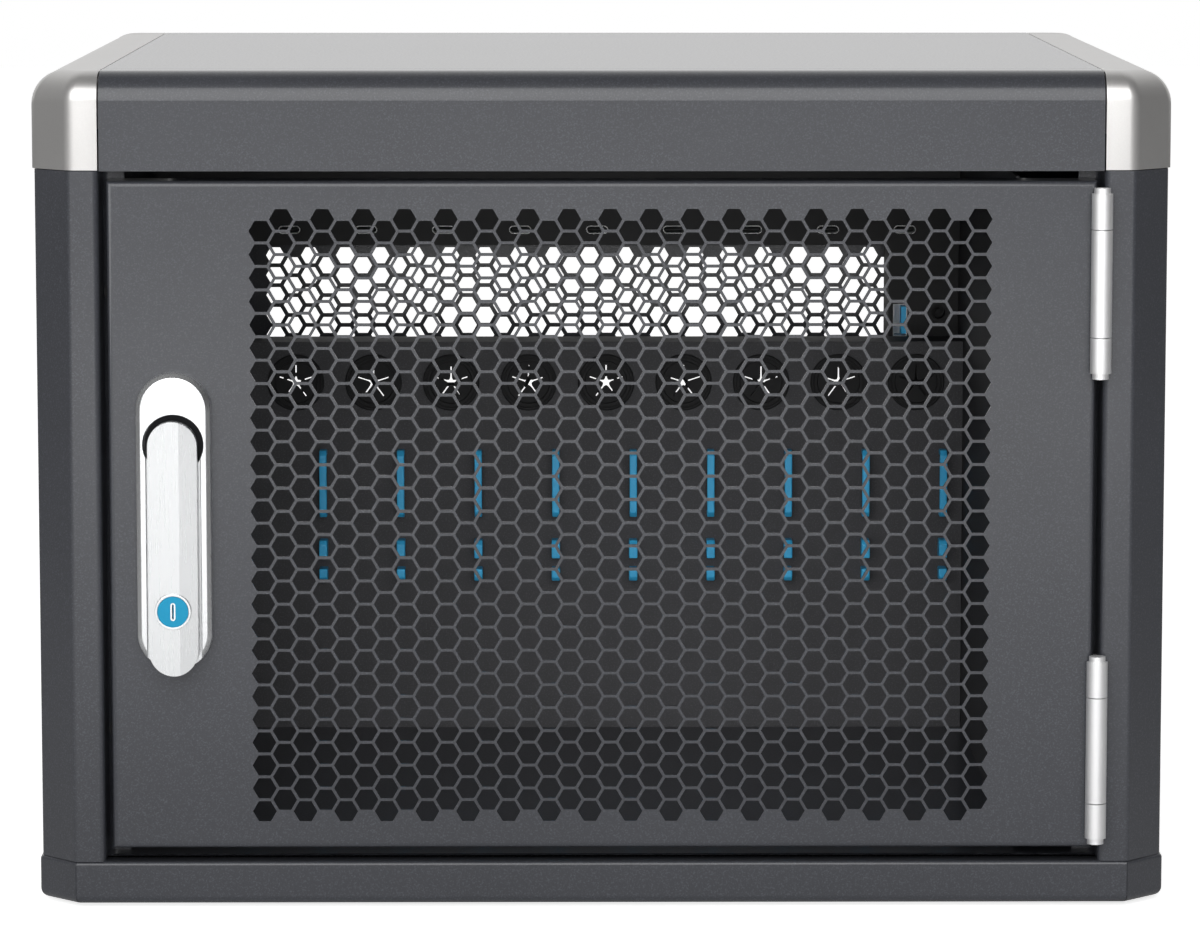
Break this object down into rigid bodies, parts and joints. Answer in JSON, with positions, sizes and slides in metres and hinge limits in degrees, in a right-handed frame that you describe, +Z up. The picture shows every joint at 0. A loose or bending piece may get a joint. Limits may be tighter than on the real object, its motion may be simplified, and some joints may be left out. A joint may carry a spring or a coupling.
{
  "type": "charging cabinet",
  "caption": "Desktop charging cabinet of folded steel with a perforated locking door, swing handle, cable wall and rear power inlet.",
  "frame": {"origin": "centre of the bounding box on the floor plane, under the rubber feet", "axes": "+X to the right seen from the front, +Y to the back, +Z up"},
  "size_m": [0.4, 0.3493, 0.296],
  "materials": {
    "dark_shell": "fine-textured dark grey powder coat",
    "silver_trim": "satin silver paint",
    "inner_sheet": "matte charcoal powder coat",
    "rubber": "matte",
    "blue_plastic": "moulded light blue",
    "black_plastic": "fine-grained",
    "bright_zinc": "bright zinc plate",
    "black_steel": "blackened steel",
    "handle_chrome": "bright plated",
    "key_face": "blue anodised"
  },
  "bodies": {
    "cabinet": {"base_tray": "dark_shell", "left_side_panel": "dark_shell", "right_side_panel": "dark_shell", "front_fascia": "dark_shell", "rear_fascia": "dark_shell", "rear_panel": "dark_shell", "top_panel": "dark_shell", "left_rail": "silver_trim", "right_rail": "silver_trim", "front_left_cap": "silver_trim", "front_right_cap": "silver_trim", "rear_left_cap": "silver_trim", "rear_right_cap": "silver_trim", "cable_partition": "inner_sheet", "duct_wall": "inner_sheet", "rubber_feet": "rubber", "door_bumpers": "rubber", "cable_grommets": "rubber", "cable_bridges": "blue_plastic", "cable_clips": "blue_plastic", "socket_tongue": "blue_plastic", "charger_housing": "black_plastic", "side_module": "black_plastic", "power_supply": "black_plastic", "power_inlet": "black_plastic", "switch_bezel": "black_plastic", "power_jack": "black_plastic", "upper_hinge_frame_leaf": "bright_zinc", "lower_hinge_frame_leaf": "bright_zinc", "hinge_pins": "bright_zinc", "inlet_pins": "bright_zinc", "socket_shell": "bright_zinc"},
    "door": {"door_panel": "dark_shell", "upper_hinge_door_leaf": "bright_zinc", "lower_hinge_door_leaf": "bright_zinc", "handle_plate": "handle_chrome", "lock_housing": "bright_zinc"},
    "spindle": {"spindle": "black_steel", "cam_latch": "bright_zinc"},
    "lever": {"handle_lever": "handle_chrome", "lever_pin": "bright_zinc", "lock_barrel": "handle_chrome"},
    "key": {"key_core": "key_face"},
    "rocker": {"power_rocker": "black_plastic"}
  },
  "joints": [
    {"name": "door_swing", "type": "hinge", "parent": "cabinet", "child": "door", "pos_m": [0.17428, -0.16535, 0.14], "axis": [0, 0, 1], "range_deg": [0, 180]},
    {"name": "handle_turn", "type": "hinge", "parent": "door", "child": "spindle", "pos_m": [-0.15, -0.16135, 0.1661], "axis": [0, -1, 0], "range_deg": [0, 90]},
    {"name": "handle_lift", "type": "hinge", "parent": "spindle", "child": "lever", "pos_m": [-0.15, -0.16985, 0.1661], "axis": [-1, 0, 0], "range_deg": [0, 30]},
    {"name": "key_turn", "type": "hinge", "parent": "lever", "child": "key", "pos_m": [-0.15, -0.16765, 0.1082], "axis": [0, -1, 0], "range_deg": [0, 90]},
    {"name": "power_rock", "type": "hinge", "parent": "cabinet", "child": "rocker", "pos_m": [0.167, 0.17145, 0.0988], "axis": [1, 0, 0], "range_deg": [-16, 0]}
  ]
}
